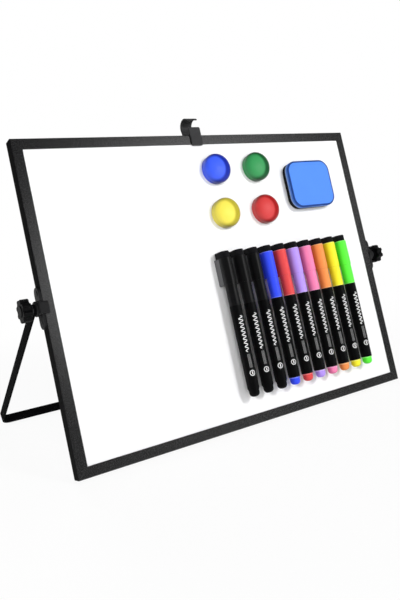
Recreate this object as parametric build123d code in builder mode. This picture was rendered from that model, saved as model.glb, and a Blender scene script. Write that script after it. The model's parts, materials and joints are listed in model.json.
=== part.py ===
"""Desk whiteboard easel: framed double-sided steel board on a swinging U stand, with its hook clip,
round magnets, felt eraser and ten magnetic-cap markers.

Row frame: +X across the board (to the right of someone facing it), +Y away from that person, +Z up.
The origin is on the desk surface, at the centre of the box round the whole set.
Board frame, used by most pieces: u across, v up along the board, n out of its front face,
measured from the centre of the frame's front plane.
"""

import os
from math import acos, atan2, cos, degrees, hypot, radians, sin

from build123d import *

# ---------------------------------------------------------------- driving dimensions (mm, degrees)
board_width = 400.0
board_height = 300.0
board_tilt = 15.4  # lean of the board back from vertical

# frame rails: mitred channel with a chamber for the corner keys and a groove for the panel
rail_face = 9.8
rail_depth = 12.0
rail_web = 1.4
rail_lip = 1.0
rail_rib = 0.8
rail_rib_height = 1.6
rail_arris = 0.7
key_chamber = 3.0
key_arm = 28.0
key_clearance = 0.1

# panel: steel writing sheet, core and back sheet
sheet_thickness = 0.4
panel_clearance = 0.2

# saddle brackets at the middle of both side rails
saddle_length = 37.0
saddle_plate = 2.2
boss_radius = 6.8
boss_height = 6.5
boss_round = 1.2
saddle_hook_width = 11.0
saddle_hook_reach = 4.8
saddle_hook_thickness = 2.2
saddle_hook_height = 4.8  # how far the hook's root runs out along the boss
screw_spacing = 27.0
screw_radius = 1.3
screw_length = 4.6
screw_head_radius = 2.3
screw_head_height = 1.3
screw_seat_depth = 0.8
screw_slot_width = 0.6
screw_fit = 0.05

# pivot bolt and star knob
bolt_radius = 2.0
bolt_head_flats = 7.0
bolt_head_height = 2.8
bolt_fit = 0.06  # radial running clearance in the leg, the washer and the knob
side_gap = 0.05  # side play between the boss, the leg stack and the knob
washer_radius = 4.5
washer_thickness = 0.8
knob_radius = 10.4
knob_lobes = 8
knob_thickness = 7.6
knob_scallop = 2.7
knob_edge = 0.8
knob_collar_radius = 5.6
knob_collar_height = 1.8
knob_cap_radius = 5.2
knob_cap_height = 0.7
knob_thread_depth = 6.4

# U stand bent from flat strip
strip_width = 9.2
strip_thickness = 2.0
leg_reach = 211.8  # from the pivot axis to the outside of the foot bar
foot_bend = 8.0  # inside radius of the two foot bends
leg_end_flat = 0.4  # flat left at the top of each rounded leg end

# sliding hook clip on the top rail
clip_width = 13.0
clip_sheet = 1.4
clip_centre = -8.0
clip_fit = 0.15
clip_drop = 11.2  # how far the front and back plates reach below the top of the rail
clip_rise = 8.0  # how far the front plate stands above the top of the rail
clip_corner = 1.4
curl_radius = 8.5  # outside radius of the hook's curl
curl_centre_rise = 11.0  # curl centre above the top of the rail
curl_tip_angle = 48.0  # where the curl ends, from the board's normal
curl_neck = -1.0  # how far the curl swells behind the back wall

# round magnets
magnet_radius = 15.5
magnet_height = 13.5
magnet_foot_radius = 15.1
magnet_waist_height = 5.2
magnet_shoulder = 7.0  # radius of the arc between the waist and the crown
magnet_disc_radius = 9.0
magnet_disc_height = 2.5
magnet_clearance = 0.1
magnet_from_right = (193.2, 141.2)  # centres from the frame's right edge
magnet_from_top = (37.7, 84.4)  # centres from the frame's top edge
magnet_colours = (("blue", "green"), ("yellow", "red"))

# eraser: foam body on a felt pad
eraser_width = 61.4
eraser_height = 52.6
eraser_corner = 12.5
eraser_foam = 5.2
eraser_felt = 5.0
eraser_felt_inset = 0.4
eraser_edge = 0.8
eraser_from_right = 73.5  # centre from the frame's right edge
eraser_from_top = 61.6  # centre from the frame's top edge
eraser_magnet_radius = 6.0
eraser_magnet_depth = 1.5
eraser_magnet_spacing = 28.0

# markers
marker_colours = ("black", "black", "black", "blue", "red", "lilac", "pink", "orange", "yellow", "green")
marker_pitch = 17.75
marker_from_right = 51.8  # last marker's axis from the frame's right edge
marker_top = 25.4  # v of the top of the felt tips
marker_standoff = 10.5  # axis of the barrel above the writing surface
tip_height = 6.8
tip_inset = 0.9  # how far the felt stands in from the sides of the magnet block
tip_clearance = 2.0  # gap between the felt and the writing surface
tip_bevel = 0.5
cap_length = 48.7
cap_block_length = 27.2
cap_block_radius = 6.35
cap_skirt_radius = 6.0
cap_bore_radius = 5.0
cap_bore_depth = 27.0
cap_magnet_length = 20.0
cap_magnet_width = 8.4
cap_magnet_thickness = 1.8
cap_magnet_inset = 3.5
barrel_length = 83.8
barrel_radius = 6.1
neck_fit = 0.06
neck_length = 11.0
nib_holder_radius = 2.7
nib_holder_length = 5.5
nib_cone = 3.0
nib_radius = 1.3
nib_length = 3.5
plug_length = 8.0
plug_radius = 5.2
plug_round = 4.0  # radius of the arc at its end
plug_lip_radius = 5.6
plug_lip = 1.2  # length of the lip against the barrel
plug_wall = 0.9
plug_fit = 0.05

# ---------------------------------------------------------------- derived sizes and the board frame
half_width = board_width / 2
half_height = board_height / 2
surface_n = -rail_lip  # front face of the writing sheet
pivot_n = -rail_depth / 2
marker_n = surface_n + marker_standoff
cap_top = marker_top - tip_height
cap_mouth = cap_top - cap_length
barrel_end = cap_mouth - barrel_length
marker_end = barrel_end - plug_length
top_v = half_height

tilt = radians(board_tilt)
pivot_height = half_height * cos(tilt) + (rail_depth / 2) * sin(tilt)
leg_lean = acos(pivot_height / hypot(leg_reach, strip_width / 2)) + atan2(strip_width / 2, leg_reach)
leg_angle = leg_lean + tilt  # between the legs and the board below the pivot

# depth of the set on the desk, measured from the edge that the frame rests on
rear_reach = (
    half_height * sin(tilt)
    - rail_depth / 2 * cos(tilt)
    + leg_reach * sin(leg_lean)
    + strip_width / 2 * cos(leg_lean)
)


def forward(v, n):
    """How far a point of the board stands in front of the edge that the frame rests on."""
    return (n + rail_depth) * cos(tilt) - (v + half_height) * sin(tilt)


front_reach = max(
    forward(barrel_end, marker_n + barrel_radius),
    forward(barrel_end - plug_lip, marker_n + plug_lip_radius),
    forward(marker_end + plug_round, marker_n + plug_radius - plug_round) + plug_round,
)
rest_edge_y = (front_reach - rear_reach) / 2

board = Plane(
    origin=(
        0,
        rest_edge_y + half_height * sin(tilt) - rail_depth * cos(tilt),
        half_height * cos(tilt) + rail_depth * sin(tilt),
    ),
    x_dir=(1, 0, 0),
    z_dir=(0, -cos(tilt), sin(tilt)),
)
across, along, out = board.x_dir, board.y_dir, board.z_dir


def at(u, v, n):
    """Point of the row frame at board coordinates u, v, n."""
    return board.origin + across * u + along * v + out * n


def facing(u=0.0, v=0.0, n=0.0):
    """Plane parallel to the board: local x is u, local y is v, normal is n."""
    return Plane(origin=at(u, v, n), x_dir=across, z_dir=out)


def seen_from_side(u=0.0, v=0.0, n=0.0):
    """Plane square to the board's width: local x is v, local y is n, normal is u."""
    return Plane(origin=at(u, v, n), x_dir=along, z_dir=across)


def end_on(u=0.0, v=0.0, n=0.0):
    """Plane square to the board's height: local x is u, local y is the board's back, normal is v."""
    return Plane(origin=at(u, v, n), x_dir=across, z_dir=along)


os.makedirs("parts", exist_ok=True)


def save(part, name):
    """Label a finished piece and write it as a STEP file."""
    part.label = name
    export_step(part, f"parts/{name}.step")


# ---------------------------------------------------------------- frame rails
panel_edge = rail_web + key_chamber + rail_rib + panel_clearance
groove = rail_depth - 2 * rail_lip


def make_rail(corner, direction, inward, length, screw_offsets=()):
    """One mitred rail from a front outer corner of the frame.

    The section is drawn with x towards the board's centre and y towards its back.
    """
    section = Plane(origin=corner, x_dir=inward, z_dir=direction)
    rib_x = rail_web + key_chamber + rail_rib / 2
    with BuildPart() as rail:
        with BuildSketch(section):
            with BuildLine():
                Polyline(
                    (rail_face, 0),
                    (0, 0),
                    (0, rail_depth),
                    (rail_face, rail_depth),
                    (rail_face, rail_depth - rail_lip),
                    (rail_web, rail_depth - rail_lip),
                    (rail_web, rail_lip),
                    (rail_face, rail_lip),
                    close=True,
                )
            outline = make_face()
            fillet(outline.vertices().group_by(Axis.X)[0], rail_arris)
            with Locations(
                (rib_x, rail_lip + rail_rib_height / 2),
                (rib_x, rail_depth - rail_lip - rail_rib_height / 2),
            ):
                Rectangle(rail_rib, rail_rib_height)
        extrude(amount=length)
        split(bisect_by=Plane(origin=corner, z_dir=direction - inward), keep=Keep.TOP)
        far_corner = corner + direction * length
        split(bisect_by=Plane(origin=far_corner, z_dir=-direction - inward), keep=Keep.TOP)
        for offset in screw_offsets:
            seat = corner + direction * (length / 2 + offset) - out * (rail_depth / 2)
            with Locations(Plane(origin=seat, z_dir=-inward)):
                Hole(screw_radius + screw_fit, depth=rail_web)
    return rail.part


screw_offsets = (-screw_spacing / 2, screw_spacing / 2)
top_left = at(-half_width, half_height, 0)
top_right = at(half_width, half_height, 0)
bottom_right = at(half_width, -half_height, 0)
bottom_left = at(-half_width, -half_height, 0)
save(make_rail(top_left, across, -along, board_width), "top_rail")
save(make_rail(top_right, -along, -across, board_height, screw_offsets), "right_rail")
save(make_rail(bottom_right, -across, along, board_width), "bottom_rail")
save(make_rail(bottom_left, along, across, board_height, screw_offsets), "left_rail")

# four L keys, one in the chamber behind each mitre
key_width = key_chamber - 2 * key_clearance
key_edge = rail_web + key_clearance
with BuildPart() as corner_keys:
    with BuildSketch(facing(0, 0, -rail_lip - key_clearance)):
        for x_side in (-1, 1):
            for y_side in (-1, 1):
                corner_x = x_side * (half_width - key_edge)
                corner_y = y_side * (half_height - key_edge)
                with BuildLine():
                    Polyline(
                        (corner_x, corner_y),
                        (corner_x - x_side * key_arm, corner_y),
                        (corner_x - x_side * key_arm, corner_y - y_side * key_width),
                        (corner_x - x_side * key_width, corner_y - y_side * key_width),
                        (corner_x - x_side * key_width, corner_y - y_side * key_arm),
                        (corner_x, corner_y - y_side * key_arm),
                        close=True,
                    )
                make_face()
    extrude(amount=-(groove - 2 * key_clearance))
save(corner_keys.part, "corner_keys")

# ---------------------------------------------------------------- panel
panel_width = board_width - 2 * panel_edge
panel_height = board_height - 2 * panel_edge


def make_panel_layer(front_n, thickness):
    """One flat layer of the panel, from its front face backwards."""
    with BuildPart() as layer:
        with BuildSketch(facing(0, 0, front_n)):
            Rectangle(panel_width, panel_height)
        extrude(amount=-thickness)
    return layer.part


core_thickness = groove - 2 * sheet_thickness
save(make_panel_layer(surface_n, sheet_thickness), "front_sheet")
save(make_panel_layer(surface_n - sheet_thickness, core_thickness), "board_core")
save(make_panel_layer(surface_n - sheet_thickness - core_thickness, sheet_thickness), "back_sheet")

# ---------------------------------------------------------------- saddle brackets, screws and bolts
leg_inner = half_width + boss_height + side_gap
leg_outer = leg_inner + strip_thickness
knob_seat = leg_outer + washer_thickness + side_gap
bolt_end = knob_seat + knob_thread_depth - side_gap


def side_plane(side, u, v=0.0):
    """Plane on one side of the board: normal outwards, local x up the board, at the pivot's depth."""
    return Plane(origin=at(side * u, v, pivot_n), x_dir=along, z_dir=across * side)


def make_saddle(side):
    """Moulded bracket: screwed plate, round pivot boss and a hook over one face of the rail.

    One moulding serves both sides, so the hook is in front on the left and behind on the right.
    """
    seat = side_plane(side, half_width)
    hook_plane = Plane(origin=seat.origin, x_dir=seat.y_dir, z_dir=seat.x_dir)
    half_depth = rail_depth / 2
    hook_top = half_depth + saddle_hook_thickness
    outward = Axis(seat.origin, seat.z_dir)
    with BuildPart() as saddle:
        with BuildSketch(seat):
            SlotOverall(saddle_length, rail_depth)
        extrude(amount=saddle_plate)
        with BuildSketch(seat):
            Circle(boss_radius)
        extrude(amount=boss_height)
        fillet(saddle.faces().sort_by(outward)[-1].edges(), boss_round)
        with BuildSketch(hook_plane):
            with BuildLine():
                Polyline(
                    (-half_depth, -saddle_hook_reach),
                    (-hook_top, -saddle_hook_reach),
                    (-hook_top, saddle_hook_height),
                    (0, saddle_hook_height),
                    (0, 0),
                    (-half_depth, 0),
                    close=True,
                )
            hook_face = make_face()
            fillet(hook_face.vertices().group_by(Axis.X)[0], boss_round)
        extrude(amount=saddle_hook_width / 2, both=True)
        hook_end = saddle.faces().sort_by(outward)[0]
        fillet(hook_end.edges().filter_by(Axis(seat.origin, seat.y_dir)), boss_round)
        with BuildSketch(seat):
            RegularPolygon(bolt_head_flats / 2 + screw_fit, 6, major_radius=False)
        extrude(amount=bolt_head_height + screw_fit, mode=Mode.SUBTRACT)
        with Locations(side_plane(side, half_width + boss_height)):
            Hole(bolt_radius + screw_fit)
        for offset in screw_offsets:
            with Locations(side_plane(side, half_width + saddle_plate, offset)):
                CounterBoreHole(
                    screw_radius + screw_fit, screw_head_radius + screw_fit, screw_seat_depth, saddle_plate
                )
    return saddle.part


save(make_saddle(-1), "left_saddle")
save(make_saddle(1), "right_saddle")

with BuildPart() as saddle_screws:
    for side in (-1, 1):
        for offset in screw_offsets:
            seat_u = half_width + saddle_plate - screw_seat_depth
            with BuildSketch(side_plane(side, seat_u, offset)):
                Circle(screw_radius)
            extrude(amount=-screw_length)
            with BuildSketch(side_plane(side, seat_u, offset)):
                Circle(screw_head_radius)
            extrude(amount=screw_head_height)
            with BuildSketch(side_plane(side, seat_u + screw_head_height, offset)):
                Rectangle(screw_head_radius * 1.2, screw_slot_width)
                Rectangle(screw_slot_width, screw_head_radius * 1.2)
            extrude(amount=-screw_head_height / 2, mode=Mode.SUBTRACT)
save(saddle_screws.part, "saddle_screws")

with BuildPart() as pivot_bolts:
    for side in (-1, 1):
        with BuildSketch(side_plane(side, half_width + screw_fit / 2)):
            RegularPolygon(bolt_head_flats / 2, 6, major_radius=False)
        extrude(amount=bolt_head_height)
        with BuildSketch(side_plane(side, half_width + bolt_head_height)):
            Circle(bolt_radius)
        extrude(amount=bolt_end - half_width - bolt_head_height)
save(pivot_bolts.part, "pivot_bolts")

# ---------------------------------------------------------------- U stand and its washers
leg_down = along * -cos(leg_angle) - out * sin(leg_angle)
stand_plane = Plane(origin=at(0, 0, pivot_n), x_dir=across, z_dir=across.cross(-leg_down))
leg_end = strip_width / 2
with BuildPart() as stand_frame:
    with BuildSketch(stand_plane):
        with BuildLine():
            FilletPolyline(
                (-leg_outer, leg_end),
                (-leg_outer, -leg_reach),
                (leg_outer, -leg_reach),
                (leg_outer, leg_end),
                radius=foot_bend + strip_thickness,
            )
            Line((leg_outer, leg_end), (leg_inner, leg_end))
            FilletPolyline(
                (leg_inner, leg_end),
                (leg_inner, -leg_reach + strip_thickness),
                (-leg_inner, -leg_reach + strip_thickness),
                (-leg_inner, leg_end),
                radius=foot_bend,
            )
            Line((-leg_inner, leg_end), (-leg_outer, leg_end))
        make_face()
    extrude(amount=strip_width / 2, both=True)
    leg_ends = stand_frame.faces().sort_by(Axis(stand_plane.origin, stand_plane.y_dir))[-2:]
    fillet(leg_ends.edges().filter_by(Axis(stand_plane.origin, across)), leg_end - leg_end_flat / 2)
    with Locations(side_plane(1, 0)):
        Cylinder(bolt_radius + bolt_fit, 2 * leg_outer + strip_thickness, mode=Mode.SUBTRACT)
save(stand_frame.part, "stand_frame")

with BuildPart() as washers:
    for side in (-1, 1):
        with BuildSketch(side_plane(side, leg_outer)):
            Circle(washer_radius)
            Circle(bolt_radius + bolt_fit, mode=Mode.SUBTRACT)
        extrude(amount=washer_thickness)
save(washers.part, "washers")


def make_knob(side):
    """Star knob with scalloped lobes, a collar against the washer and a low cap on its face."""
    star_u = knob_seat + knob_collar_height
    with BuildPart() as knob:
        with BuildSketch(side_plane(side, knob_seat)):
            Circle(knob_collar_radius)
        extrude(amount=knob_collar_height)
        with BuildSketch(side_plane(side, star_u)) as star:
            Circle(knob_radius)
            with PolarLocations(knob_radius + knob_scallop / 3, knob_lobes):
                Circle(knob_scallop, mode=Mode.SUBTRACT)
            fillet(star.vertices(), knob_edge)
        extrude(amount=knob_thickness)
        rims = knob.faces().filter_by(Axis(at(0, 0, 0), across)).sort_by(SortBy.AREA)[-2:]
        chamfer(rims.edges().filter_by(lambda edge: edge.length < 2 * knob_radius), knob_edge / 2)
        with BuildSketch(side_plane(side, star_u + knob_thickness)):
            Circle(knob_cap_radius)
        extrude(amount=knob_cap_height)
        with Locations(side_plane(-side, -knob_seat)):
            Hole(bolt_radius + bolt_fit, depth=knob_thread_depth)
    return knob.part


save(make_knob(-1), "left_knob")
save(make_knob(1), "right_knob")

# ---------------------------------------------------------------- hook clip
half_sheet = clip_sheet / 2
clip_top = top_v + clip_fit
back_wall_n = -rail_depth - clip_fit - half_sheet
curl_path_radius = curl_radius - half_sheet
curl_v = top_v + curl_centre_rise
curl_n = -rail_depth - clip_fit - clip_sheet + curl_neck + curl_path_radius + half_sheet
curl_start = degrees(acos((back_wall_n - curl_n) / curl_path_radius))
clip_side = Plane(origin=at(clip_centre + clip_width / 2, 0, 0), x_dir=out, z_dir=-across)
curl_base = (back_wall_n, curl_v - curl_path_radius * sin(radians(curl_start)))
curl_tip = (
    curl_n + curl_path_radius * cos(radians(curl_tip_angle)),
    curl_v + curl_path_radius * sin(radians(curl_tip_angle)),
)
with BuildPart() as hook_clip:
    with BuildSketch(clip_side):
        with BuildLine():
            Line((back_wall_n, top_v - clip_drop), curl_base)
        trace(line_width=clip_sheet)
        with BuildLine():
            CenterArc((curl_n, curl_v), curl_path_radius, -curl_start, curl_start + curl_tip_angle - 360)
        trace(line_width=clip_sheet)
        with BuildLine():
            Line((back_wall_n, clip_top + half_sheet), (clip_fit + half_sheet, clip_top + half_sheet))
        trace(line_width=clip_sheet)
        with Locations(curl_base, curl_tip):
            Circle(half_sheet)
    extrude(amount=clip_width)
    with BuildSketch(facing(clip_centre, top_v + (clip_rise - clip_drop) / 2, clip_fit)) as front_plate:
        Rectangle(clip_width, clip_rise + clip_drop)
        fillet(front_plate.vertices(), clip_corner)
    extrude(amount=clip_sheet)
save(hook_clip.part, "hook_clip")

# ---------------------------------------------------------------- round magnets


def make_magnet(u, v):
    """Domed plastic shell with a ferrite disc held in the recess under it."""
    seat = seen_from_side(u, v, surface_n)
    recess_radius = magnet_disc_radius + magnet_clearance
    recess_height = magnet_disc_height + 2 * magnet_clearance
    shoulder_x = magnet_radius - magnet_shoulder
    rise = magnet_height - magnet_waist_height
    crown_radius = (shoulder_x**2 + rise**2 - magnet_shoulder**2) / (2 * (rise - magnet_shoulder))
    shoulder_end = degrees(atan2(crown_radius - rise, shoulder_x))
    with BuildPart() as magnet:
        with BuildSketch(seat):
            with BuildLine():
                Polyline(
                    (0, magnet_height),
                    (0, recess_height),
                    (recess_radius, recess_height),
                    (recess_radius, 0),
                    (magnet_foot_radius, 0),
                    (magnet_radius, magnet_waist_height),
                )
                CenterArc((shoulder_x, magnet_waist_height), magnet_shoulder, 0, shoulder_end)
                CenterArc((0, magnet_height - crown_radius), crown_radius, shoulder_end, 90 - shoulder_end)
            make_face()
        revolve(axis=Axis(seat.origin, out))
        with BuildSketch(facing(u, v, surface_n + magnet_clearance)):
            Circle(magnet_disc_radius)
        extrude(amount=magnet_disc_height)
    return magnet.part


for from_top, row_colours in zip(magnet_from_top, magnet_colours):
    for from_right, colour in zip(magnet_from_right, row_colours):
        save(make_magnet(half_width - from_right, half_height - from_top), f"magnet_{colour}")

# ---------------------------------------------------------------- eraser
eraser_u = half_width - eraser_from_right
eraser_v = half_height - eraser_from_top
foam_n = surface_n + eraser_felt
with BuildPart() as eraser_pad:
    with BuildSketch(facing(eraser_u, eraser_v, surface_n)):
        RectangleRounded(
            eraser_width - 2 * eraser_felt_inset,
            eraser_height - 2 * eraser_felt_inset,
            eraser_corner - eraser_felt_inset,
        )
    extrude(amount=eraser_felt)
save(eraser_pad.part, "eraser_felt")

with BuildPart() as eraser_body:
    with BuildSketch(facing(eraser_u, eraser_v, foam_n)):
        RectangleRounded(eraser_width, eraser_height, eraser_corner)
    extrude(amount=eraser_foam)
    chamfer(eraser_body.faces().sort_by(Axis(board.origin, out))[-1].edges(), eraser_edge)
    with BuildSketch(facing(eraser_u, eraser_v, foam_n)):
        with GridLocations(eraser_magnet_spacing, 0, 2, 1):
            Circle(eraser_magnet_radius + magnet_clearance)
    extrude(amount=eraser_magnet_depth + 2 * magnet_clearance, mode=Mode.SUBTRACT)
    with BuildSketch(facing(eraser_u, eraser_v, foam_n + magnet_clearance)):
        with GridLocations(eraser_magnet_spacing, 0, 2, 1):
            Circle(eraser_magnet_radius)
    extrude(amount=eraser_magnet_depth)
save(eraser_body.part, "eraser_foam")

# ---------------------------------------------------------------- markers
neck_radius = cap_bore_radius - neck_fit
spigot_radius = plug_radius - plug_wall
spigot_length = plug_length - plug_round


def block_outline(radius, depth):
    """Section of the cap's magnet block or its felt: round in front, square to the board behind."""
    Circle(radius)
    with Locations((0, depth / 2)):
        Rectangle(2 * radius, depth)


def make_tip(u):
    """Black felt tip on the cap, for wiping small marks."""
    with BuildPart() as tip:
        with BuildSketch(end_on(u, cap_top, marker_n)):
            block_outline(cap_block_radius - tip_inset, marker_standoff - tip_clearance)
        extrude(amount=tip_height)
        chamfer(tip.faces().sort_by(Axis(board.origin, along))[-1].edges(), tip_bevel)
    return tip.part


def make_cap(u):
    """Cap with a stepped skirt, the barrel's bore, and a magnet let into its flat back."""
    magnet_middle = cap_top - cap_magnet_inset - cap_magnet_length / 2
    with BuildPart() as cap:
        with BuildSketch(end_on(u, cap_top, marker_n)):
            block_outline(cap_block_radius, marker_standoff)
        extrude(amount=-cap_block_length)
        with BuildSketch(end_on(u, cap_top - cap_block_length, marker_n)):
            Circle(cap_skirt_radius)
        extrude(amount=-(cap_length - cap_block_length))
        with BuildSketch(end_on(u, cap_mouth, marker_n)):
            Circle(cap_bore_radius)
        extrude(amount=cap_bore_depth, mode=Mode.SUBTRACT)
        with BuildSketch(facing(u, magnet_middle, surface_n)):
            Rectangle(cap_magnet_width + 2 * magnet_clearance, cap_magnet_length + 2 * magnet_clearance)
        extrude(amount=cap_magnet_thickness + 2 * magnet_clearance, mode=Mode.SUBTRACT)
        with BuildSketch(facing(u, magnet_middle, surface_n + magnet_clearance)):
            Rectangle(cap_magnet_width, cap_magnet_length)
        extrude(amount=cap_magnet_thickness)
    return cap.part


def make_barrel(u):
    """Ink barrel with its neck, nib holder and nib, open at the tail for the plug."""
    seat = facing(u, cap_mouth, marker_n)
    shoulder = neck_length + nib_cone
    holder_end = shoulder + nib_holder_length
    with BuildPart() as barrel:
        with BuildSketch(seat):
            with BuildLine():
                Polyline(
                    (0, -barrel_length),
                    (barrel_radius, -barrel_length),
                    (barrel_radius, 0),
                    (neck_radius, 0),
                    (neck_radius, neck_length),
                    (nib_holder_radius, shoulder),
                    (nib_holder_radius, holder_end),
                    (nib_radius, holder_end),
                    (nib_radius, holder_end + nib_length),
                    (0, holder_end + nib_length),
                    close=True,
                )
            make_face()
        revolve(axis=Axis(seat.origin, along))
        with BuildSketch(end_on(u, barrel_end, marker_n)):
            Circle(spigot_radius)
        extrude(amount=spigot_length, mode=Mode.SUBTRACT)
    return barrel.part


def make_plug(u):
    """Tail plug with a lip and a rounded end, pushed into the barrel on a spigot."""
    seat = facing(u, barrel_end, marker_n)
    round_start = plug_round - plug_length
    round_centre = plug_radius - plug_round
    spigot_fit_radius = spigot_radius - plug_fit
    with BuildPart() as plug:
        with BuildSketch(seat):
            with BuildLine():
                Polyline(
                    (round_centre, -plug_length),
                    (0, -plug_length),
                    (0, spigot_length - plug_fit),
                    (spigot_fit_radius, spigot_length - plug_fit),
                    (spigot_fit_radius, 0),
                    (plug_lip_radius, 0),
                    (plug_lip_radius, -plug_lip),
                    (plug_radius, -plug_lip),
                    (plug_radius, round_start),
                )
                CenterArc((round_centre, round_start), plug_round, 0, -90)
            make_face()
        revolve(axis=Axis(seat.origin, along))
    return plug.part


first_marker_u = half_width - marker_from_right - (len(marker_colours) - 1) * marker_pitch
for index, colour in enumerate(marker_colours):
    marker_u = first_marker_u + index * marker_pitch
    name = f"marker_{index + 1:02d}"
    barrel_piece = make_barrel(marker_u)
    plug_piece = make_plug(marker_u)
    save(make_tip(marker_u), f"{name}_tip")
    save(make_cap(marker_u), f"{name}_cap")
    if colour == "black":
        save(Compound(children=[barrel_piece, plug_piece]), f"{name}_barrel")
    else:
        save(barrel_piece, f"{name}_barrel")
        save(plug_piece, f"{name}_plug")
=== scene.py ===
"""Desk whiteboard easel: finishes, felt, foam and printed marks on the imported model, in a small studio.

Lengths in the sub-assemblies are millimetres in the board's own directions (u across, v up along the
board, n out of its face) and become metres where a mesh is made.
"""

import json
import logging
import math
from dataclasses import dataclass, field
from enum import Enum
from functools import cached_property
from typing import Sequence

import bpy
from mathutils import Euler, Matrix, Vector, noise


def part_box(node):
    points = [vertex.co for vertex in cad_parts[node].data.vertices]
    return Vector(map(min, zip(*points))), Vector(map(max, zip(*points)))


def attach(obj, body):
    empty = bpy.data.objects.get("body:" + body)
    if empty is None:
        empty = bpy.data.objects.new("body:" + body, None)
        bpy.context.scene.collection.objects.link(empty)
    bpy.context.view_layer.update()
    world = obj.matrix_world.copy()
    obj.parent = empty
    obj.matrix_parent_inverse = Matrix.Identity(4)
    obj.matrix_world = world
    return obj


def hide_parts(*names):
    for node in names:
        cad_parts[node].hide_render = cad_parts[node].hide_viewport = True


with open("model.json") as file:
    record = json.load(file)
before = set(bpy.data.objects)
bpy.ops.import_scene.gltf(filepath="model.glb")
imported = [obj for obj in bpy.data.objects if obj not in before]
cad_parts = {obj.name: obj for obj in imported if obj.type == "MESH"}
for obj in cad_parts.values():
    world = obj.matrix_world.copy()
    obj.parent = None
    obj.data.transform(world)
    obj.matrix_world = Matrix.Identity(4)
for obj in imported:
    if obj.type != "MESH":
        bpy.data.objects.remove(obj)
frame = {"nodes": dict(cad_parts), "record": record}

LOG = logging.getLogger("easel")
MM = 0.001
CAP_TOP = 18.6
MARKER_AXIS = 9.5
BLACK_MARKERS = 3

Rgb = tuple[float, float, float]
Point = tuple[float, float]


def tint(red: float, green: float, blue: float) -> Rgb:
    """Linear colour of a display colour.

    Args:
        red: red from 0 to 255.
        green: green from 0 to 255.
        blue: blue from 0 to 255.

    Returns:
        The three linear values.
    """
    shares = [part / 255 for part in (red, green, blue)]
    return tuple(s / 12.92 if s <= 0.04045 else ((s + 0.055) / 1.055) ** 2.4 for s in shares)


def shade(colour: Rgb, share: float) -> Rgb:
    """The colour made darker or lighter.

    Args:
        colour: linear colour.
        share: what each part is multiplied by.

    Returns:
        The new colour, no part above 1.
    """
    red, green, blue = (min(1.0, part * share) for part in colour)
    return red, green, blue


def rgba(colour: Rgb) -> tuple[float, float, float, float]:
    """The colour with full opacity, as sockets take it."""
    return (*colour, 1.0)


# ------------------------------------------------------------------ the board's directions


@dataclass(frozen=True)
class Slope:
    """The leaning board's place: its origin is the centre of the frame's front plane."""

    origin: Vector
    across: Vector
    along: Vector
    out: Vector

    @classmethod
    def of_board(
        cls, rail_depth: float = 12.0, half_height: float = 150.0, rail_face: float = 9.8
    ) -> "Slope":
        """Read the lean from the flat face stated on the back of the lower rail.

        Args:
            rail_depth: depth of the rails, in millimetres.
            half_height: half the frame's height, in millimetres.
            rail_face: width of the rails seen from the front, in millimetres.

        Returns:
            The board's place and directions.
        """
        face = next(m for m in frame["record"]["mounts"] if m["name"] == "frame_back")
        out = -Vector(face["axis"])
        across = Vector((1.0, 0.0, 0.0))
        along = out.cross(across)
        back = Vector(face["pos_m"])
        origin = back + out * rail_depth * MM + along * (half_height - rail_face / 2) * MM
        return cls(origin, across, along, out)

    def at(self, u: float, v: float, n: float) -> Vector:
        """A point of the board in the scene.

        Args:
            u: place across the board, in millimetres.
            v: place up the board, in millimetres.
            n: height above the frame's front plane, in millimetres.

        Returns:
            The point in metres.
        """
        return self.origin + (self.across * u + self.along * v + self.out * n) * MM


# ------------------------------------------------------------------ shader graphs


class Value:
    """A number, colour or vector over a surface, on which Python arithmetic adds Math nodes."""

    def __init__(self, graph: "Graph", socket: bpy.types.NodeSocket) -> None:
        """Wrap one output socket of the graph."""
        self.graph = graph
        self.socket = socket

    def other(self, name: str) -> "Value":
        """Another output of the same node."""
        return Value(self.graph, self.socket.node.outputs[name])

    def math(self, operation: str, *terms: "Value | float") -> "Value":
        """One Math node on this value and further terms.

        Args:
            operation: name of the Math node's operation.
            terms: its second and third inputs.

        Returns:
            The result.
        """
        return self.graph.arithmetic(operation, self, *terms)

    def __add__(self, term: "Value | float") -> "Value":
        """Sum."""
        return self.math("ADD", term)

    def __radd__(self, term: float) -> "Value":
        """Sum with a number first."""
        return self.math("ADD", term)

    def __sub__(self, term: "Value | float") -> "Value":
        """Difference."""
        return self.math("SUBTRACT", term)

    def __rsub__(self, term: float) -> "Value":
        """Difference from a number."""
        return self.graph.arithmetic("SUBTRACT", term, self)

    def __mul__(self, term: "Value | float") -> "Value":
        """Product."""
        return self.math("MULTIPLY", term)

    def __rmul__(self, term: float) -> "Value":
        """Product with a number first."""
        return self.math("MULTIPLY", term)

    def __truediv__(self, term: "Value | float") -> "Value":
        """Quotient."""
        return self.math("DIVIDE", term)

    def __pow__(self, term: float) -> "Value":
        """Power."""
        return self.math("POWER", term)

    def __abs__(self) -> "Value":
        """Size without sign."""
        return self.math("ABSOLUTE")

    def most(self, term: "Value | float") -> "Value":
        """The larger of two."""
        return self.math("MAXIMUM", term)

    def between(self, low: float, high: float) -> "Value":
        """Smooth step from 0 at one value to 1 at another.

        Args:
            low: where the result is 0.
            high: where the result is 1; it may be the smaller of the two.

        Returns:
            The mask.
        """
        inputs = {"Value": self, "From Min": min(low, high), "From Max": max(low, high)}
        mask = self.graph.node("ShaderNodeMapRange", {"interpolation_type": "SMOOTHSTEP"}, inputs)
        return 1 - mask if low > high else mask


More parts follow.
